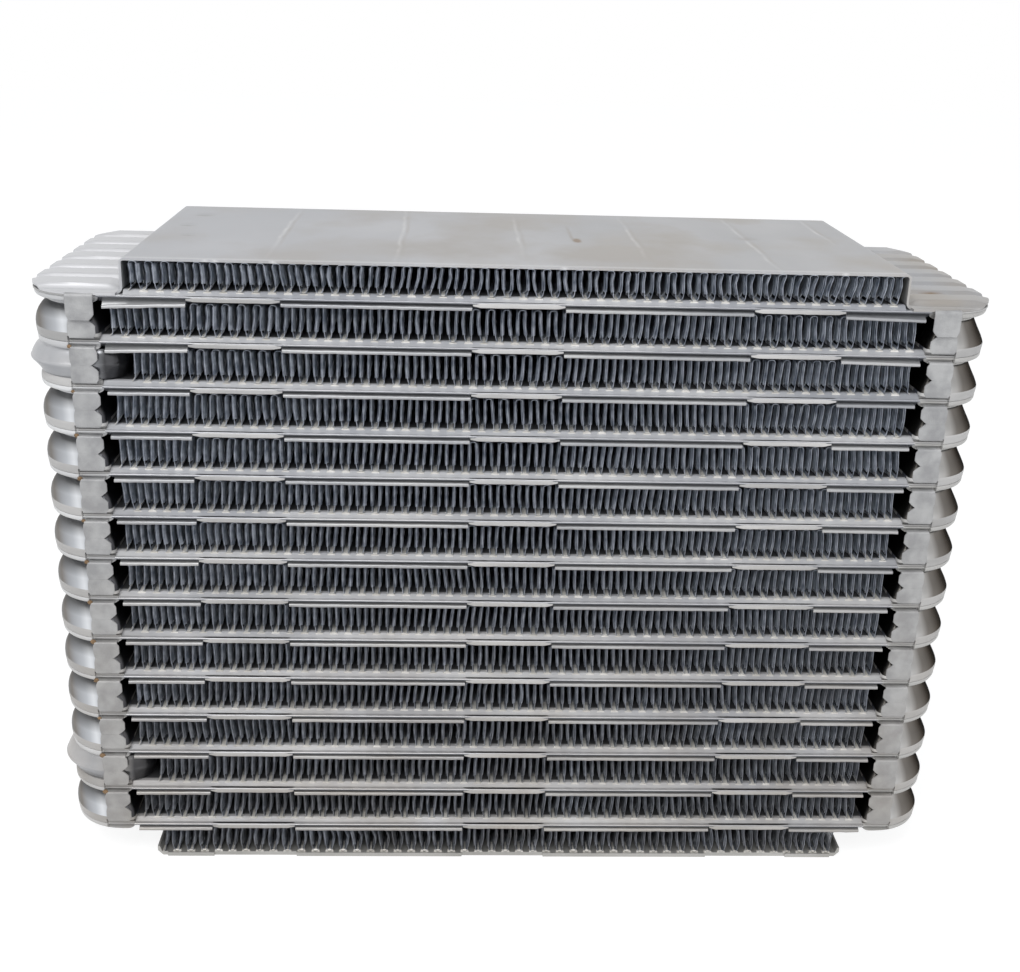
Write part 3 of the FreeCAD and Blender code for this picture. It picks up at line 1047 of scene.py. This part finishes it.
def crease_light_and_shade(tree, place, parts, color, broken):
    """Painted highlight and painted shade along each crease of the roof: a pale line and a brown line."""
    wander = product(tree, math_node(tree, "SUBTRACT", noise(tree, place, 45, 2), 0.5), CREASE_WANDER)
    strayed = math_node(tree, "ADD", parts.outputs["X"], wander)
    for crease_x, rear, front in CREASES:
        along = near(tree, parts.outputs["Y"], (rear + front) / 2, (rear - front) * 0.9)
        for aside, width, strength, shade in CREASE_LINES:
            band = product(tree, near(tree, strayed, crease_x + aside, width), along, broken, strength)
            color = mix_color(tree, band, color, shade)
    return color


def roof_stains_and_painted_light(tree, place, parts, color):
    """Colours of the top plate: brown patches, a cooler left side, chips and stains, with painted light and shade: pale
    and brown lines along the creases, shade in the dents, a pale band along the front edge and a paler left bend and
    ear.
    """
    x, y = parts.outputs["X"], parts.outputs["Y"]
    broken = remap(tree, noise(tree, place, 90, 3), 0.35, 0.65, 0.35, 1.0)
    patch = remap(tree, noise(tree, place, 32, 6, (1, 0.7, 1)), 0.46, 0.66, 0.0, 0.8)
    color = mix_color(tree, patch, color, (0.33, 0.30, 0.265))
    color = mix_color(tree, remap(tree, x, 60 * MM, -80 * MM, 0.0, 0.35), color, (0.40, 0.415, 0.455))
    color = crease_light_and_shade(tree, place, parts, color, broken)
    # Painted shade in the dents.
    for dent_x, dent_y, radius, depth in DENTS:
        shade = product(tree, spot(tree, parts, (dent_x, dent_y - 1), (radius, radius * 0.7)), depth * 2)
        color = mix_color(tree, shade, color, (0.20, 0.19, 0.18))
    # Painted highlight: a pale band along the front edge.
    color = mix_color(tree, product(tree, near(tree, y, -44.0, 2.0), 0.35), color, (0.70, 0.70, 0.70))
    # Painted highlight on the left bend and the left ear.
    color = mix_color(tree, remap(tree, x, -102.5 * MM, -105 * MM, 0.0, 0.6), color, (0.66, 0.66, 0.67))
    for chip in CHIPS:
        chipped = product(tree, spot(tree, parts, (chip, -ROOF_HALF), (1.3, 1.2)), 0.7)
        color = mix_color(tree, chipped, color, CHIP_COLOR)
    for stain_x, stain_y, half_x, half_y, strength in STAINS:
        stain = product(tree, spot(tree, parts, (stain_x, stain_y), (half_x, half_y)), broken, strength)
        color = mix_color(tree, stain, color, BROWN)
    return color


def core_shade(tree, place, parts, color):
    """Painted shade on a channel under the fins, behind its bright front edge, and on faces that look downward."""
    depth = math_node(tree, "ABSOLUTE", parts.outputs["Y"], 0.0)
    color = mix_color(tree, remap(tree, depth, 44.0 * MM, 43.2 * MM, 0.0, 0.93), color, (0.035, 0.035, 0.038))
    edge = remap(tree, facing(tree, place)["Z"], 0.55, -0.05, 0.0, 0.95)
    return mix_color(tree, edge, color, (0.13, 0.135, 0.15))


def recess_shade(tree, place, parts, color):
    """Painted shade on the bottom of the recesses behind the tabs."""
    across = math_node(tree, "ABSOLUTE", parts.outputs["X"], 0.0)
    beside = between(tree, across, 107.2, 117.3)
    deep = between(tree, parts.outputs["Y"], -45.0, -41.0)
    return mix_color(tree, product(tree, beside, deep, 0.97), color, (0.045, 0.05, 0.065))


def low_rim_shade(tree, place, parts, color):
    """Rims of the lower plates: painted shade that makes them warmer and darker at the right end, and the painted shade
    of the recesses behind the tabs.
    """
    right = remap(tree, parts.outputs["X"], -10 * MM, 10 * MM, 0.0, 0.85)
    return recess_shade(tree, place, parts, mix_color(tree, right, color, (0.44, 0.43, 0.41)))


# Painted highlights, reflections and shade on a cup's wall by how far it faces outward, from -1 beside the fins to 1 at
# the outer side; the brown of the dark right wall is partly residue
LEFT_WALL = [
    (-0.2, (0.04, 0.04, 0.045)), (0.08, (0.20, 0.21, 0.23)), (0.34, (0.74, 0.76, 0.79)), (0.47, (0.50, 0.52, 0.55)),
    (0.64, (0.38, 0.39, 0.41)), (0.80, (0.27, 0.25, 0.23)), (0.95, (0.36, 0.355, 0.35)),
]
RIGHT_WALL = [
    (-0.2, (0.04, 0.036, 0.032)), (0.08, (0.16, 0.155, 0.15)), (0.26, (0.44, 0.44, 0.44)), (0.38, (0.42, 0.41, 0.40)),
    (0.50, (0.20, 0.185, 0.17)), (0.80, (0.15, 0.135, 0.12)), (0.94, (0.02, 0.018, 0.016)),
]


def wall_shade(side, stops):
    """Painted highlights, reflections and shade on the walls of the drawn cups at one end of the core, by the way the
    wall faces, and painted shadow on the shoulder under the rim above.
    """
    def marks_and_shade(tree, place, parts, color):
        look = facing(tree, place)
        outward = product(tree, look["X"], float(side))
        ramp = tree.nodes.new("ShaderNodeValToRGB")
        points = ramp.color_ramp.elements
        points.remove(points[1])
        points[0].position = (stops[0][0] + 1) / 2
        points[0].color = (*stops[0][1], 1)
        for turn, shade in stops[1:]:
            points.new((turn + 1) / 2).color = (*shade, 1)
        tree.links.new(remap(tree, outward, -1.0, 1.0, 0.0, 1.0), ramp.inputs["Fac"])
        front = remap(tree, parts.outputs["Y"], -30 * MM, -18 * MM, 0.92, 0.3)
        color = mix_color(tree, front, color, ramp.outputs["Color"])
        # Painted shadow of the rim above on the cup's shoulder.
        shoulder = remap(tree, look["Z"], 0.38, 0.72, 0.0, 0.8)
        return mix_color(tree, shoulder, color, (0.06, 0.058, 0.055))
    return marks_and_shade


def collar_shade(tree, place, parts, color):
    """Painted shade on the collar: darker below its widest line, where it faces downward, and nearly black beside the
    fins.
    """
    under = remap(tree, facing(tree, place)["Z"], 0.0, -0.6, 0.0, 0.65)
    color = mix_color(tree, under, color, (0.20, 0.21, 0.23))
    inside = remap(tree, parts.outputs["X"], -112 * MM, -108 * MM, 0.0, 0.94)
    return mix_color(tree, inside, color, (0.03, 0.03, 0.033))


FIN_LOOK = {"bump": 0.15, "warm": 0.6, "tint": LOW_FIN_SHADE}
PLATE_LOOK = {"grain": 60, "bump": 0.25, "warm": 0.4}
CUP_LOOK = {"metallic": 1.0, "roughness": 0.36, "grain": 40, "bump": 0.2, "warm": 0.3}
LENGTHWISE = (0.35, 1, 1)
ROUNDABOUT = (0.5, 0.5, 1)

FIN_METAL = metal("fin_foil", (0.15, 0.175, 0.22), (0.46, 0.49, 0.55), 0.5, 0.35, grain=420, **FIN_LOOK)
# Darker copy of the fin foil for the inner louvre blades: painted shade.
SLAT_METAL = metal("fin_slats", (0.17, 0.195, 0.23), (0.35, 0.39, 0.45), 0.5, 0.4, grain=90, **FIN_LOOK)
# Lighter copy of the fin foil for the strip deep inside the fins: painted light.
INNER_METAL = metal("fin_inside", (0.46, 0.48, 0.52), (0.66, 0.68, 0.72), 0.3, 0.5, grain=90, **FIN_LOOK)
# Pale beige for the crests and the solder fillets: partly their own colour, partly painted light on the faces that look
# up.
CREST_METAL = metal("fin_crest", (0.56, 0.54, 0.50), (0.80, 0.78, 0.74), 0.2, 0.45, grain=200, bump=0.2, warm=0.2)
FIN_METALS = [FIN_METAL, CREST_METAL, SLAT_METAL, INNER_METAL]
PLATE_METAL = metal(
    "tube_plate", (0.42, 0.43, 0.46), (0.60, 0.60, 0.61), 0.35, 0.45, stretch=LENGTHWISE, marks_and_shade=core_shade,
    **PLATE_LOOK)
LIP_METAL = metal("tube_lip", (0.28, 0.285, 0.30), (0.43, 0.43, 0.43), 0.35, 0.36, stretch=LENGTHWISE, **PLATE_LOOK)
RIM_METAL = metal(
    "tank_rim", (0.36, 0.355, 0.35), (0.54, 0.53, 0.52), 0.15, 0.45, stretch=ROUNDABOUT, marks_and_shade=recess_shade,
    **PLATE_LOOK)
# Lighter copy of the rim metal for the lower plates: painted light for the bright strips below the joints.
LOW_RIM_METAL = metal(
    "low_rim", (0.54, 0.54, 0.545), (0.74, 0.74, 0.74), 0.15, 0.42, stretch=ROUNDABOUT, marks_and_shade=low_rim_shade,
    **PLATE_LOOK)
TAB_METAL = metal("tab", (0.29, 0.29, 0.295), (0.42, 0.42, 0.42), 0.2, 0.5, grain=220, bump=0.5, warm=0.3)
LEFT_CUP_METAL = metal(
    "left_cup", (0.18, 0.19, 0.21), (0.34, 0.34, 0.35), marks_and_shade=wall_shade(-1, LEFT_WALL), edge_tint=0.5, **CUP_LOOK)
RIGHT_CUP_METAL = metal(
    "right_cup", (0.18, 0.18, 0.18), (0.32, 0.31, 0.30), marks_and_shade=wall_shade(1, RIGHT_WALL), edge_tint=0.04, **CUP_LOOK)
UPPER_METALS = [PLATE_METAL, TAB_METAL, LEFT_CUP_METAL, RIGHT_CUP_METAL, LIP_METAL, RIM_METAL]
LOWER_METALS = UPPER_METALS[:-1] + [LOW_RIM_METAL]
ROOF_METAL = metal(
    "top_plate", (0.34, 0.342, 0.352), (0.465, 0.463, 0.468), 0.5, 0.45, grain=26, bump=0.15, stretch=(1, 0.5, 1),
    marks_and_shade=roof_stains_and_painted_light)
SIDE_METAL = metal("side_plate", (0.36, 0.35, 0.33), (0.50, 0.49, 0.47), 0.6, 0.45, grain=30, bump=0.15)
PORT_METAL = metal(
    "port_fitting", (0.36, 0.37, 0.39), (0.52, 0.52, 0.53), 0.7, 0.32, grain=60, bump=0.2, warm=0.4,
    marks_and_shade=collar_shade)
FLUX = metal("flux", (0.12, 0.07, 0.03), (0.26, 0.16, 0.08), 0.0, 0.6, grain=400, bump=0.5)


def dress_kept_nodes():
    """Better material for the CAD nodes that stay in view."""
    for name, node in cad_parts.items():
        if node.hide_render:
            continue
        node.data.materials.clear()
        node.data.materials.append(SIDE_METAL if name.endswith("side_plate") else PORT_METAL)


# Stage

FLOOR_SIZE = 6.0
FLOOR_GAP = 0.0002
FLOOR_GLOW = 1.16
FLOOR_GLOW_SHARE = 0.75
WORLD_COLOR = (0.93, 0.96, 1.0, 1)
WORLD_LEVEL = 0.55
LAMP_AIM = (0, 0, 0.08)
LAMPS = {"key": ((-0.3, -0.75, 1.1), 0.6, 9), "fill": ((0.6, -1.0, 0.5), 0.9, 2)}


def seen_directly(tree):
    """One for camera, glossy and transmission rays, zero for the rest."""
    path = tree.nodes.new("ShaderNodeLightPath")
    either = math_node(tree, "MAXIMUM", path.outputs["Is Camera Ray"], path.outputs["Is Glossy Ray"])
    return math_node(tree, "MAXIMUM", either, path.outputs["Is Transmission Ray"])


def mix_shaders(tree, factor, first, second):
    mix = tree.nodes.new("ShaderNodeMixShader")
    tree.links.new(factor, mix.inputs["Fac"])
    tree.links.new(first, mix.inputs[1])
    tree.links.new(second, mix.inputs[2])
    return mix.outputs[0]


def add_world():
    """Soft light from all around, which shows as plain white."""
    world = bpy.data.worlds.new("studio")
    world.use_nodes = True
    bpy.context.scene.world = world
    tree = world.node_tree
    tree.nodes.clear()
    output = tree.nodes.new("ShaderNodeOutputWorld")
    plain = tree.nodes.new("ShaderNodeBackground")
    plain.inputs["Color"].default_value = WORLD_COLOR
    plain.inputs["Strength"].default_value = WORLD_LEVEL
    white = tree.nodes.new("ShaderNodeBackground")
    white.inputs["Color"].default_value = (1, 1, 1, 1)
    white.inputs["Strength"].default_value = 1.0
    surface = mix_shaders(tree, seen_directly(tree), plain.outputs[0], white.outputs[0])
    tree.links.new(surface, output.inputs["Surface"])


def add_floor():
    """Pale floor that shows nearly white and keeps a light shadow."""
    mesh = bpy.data.meshes.new("floor")
    half = FLOOR_SIZE / 2
    mesh.from_pydata([(-half, -half, 0), (half, -half, 0), (half, half, 0), (-half, half, 0)], [], [(0, 1, 2, 3)])
    floor = bpy.data.objects.new("floor", mesh)
    bpy.context.scene.collection.objects.link(floor)
    material, tree, shader = new_material("floor")
    shader.inputs["Base Color"].default_value = (0.9, 0.9, 0.9, 1)
    shader.inputs["Roughness"].default_value = 0.9
    white = tree.nodes.new("ShaderNodeEmission")
    white.inputs["Strength"].default_value = FLOOR_GLOW
    share = product(tree, seen_directly(tree), FLOOR_GLOW_SHARE)
    surface = mix_shaders(tree, share, shader.outputs["BSDF"], white.outputs[0])
    output = next(node for node in tree.nodes if node.type == "OUTPUT_MATERIAL")
    tree.links.new(surface, output.inputs["Surface"])
    mesh.materials.append(material)
    floor.location.z = -FLOOR_GAP


def add_lamp(name, place, size, power):
    """Soft square lamp that points at the core."""
    data = bpy.data.lights.new(name, "AREA")
    data.size = size
    data.energy = power
    lamp = bpy.data.objects.new(name, data)
    bpy.context.scene.collection.objects.link(lamp)
    lamp.location = place
    lamp.rotation_euler = (Vector(LAMP_AIM) - Vector(place)).to_track_quat("-Z", "Y").to_euler()


add_camera()
for row in range(1, ROWS + 1):
    fin_row(row)
for tube in range(1, TUBES + 1):
    stamped_plate(tube, False)
    stamped_plate(tube, True)
top_plate()
for port in PORT_TIERS:
    port_collar(port)
flux_spots().make("flux_residue", "tube_plate", [FLUX])
dress_kept_nodes()
add_world()
add_floor()
for lamp_name, (place, size, power) in LAMPS.items():
    add_lamp(lamp_name, place, size, power)

bpy.context.scene.view_settings.view_transform = "Standard"
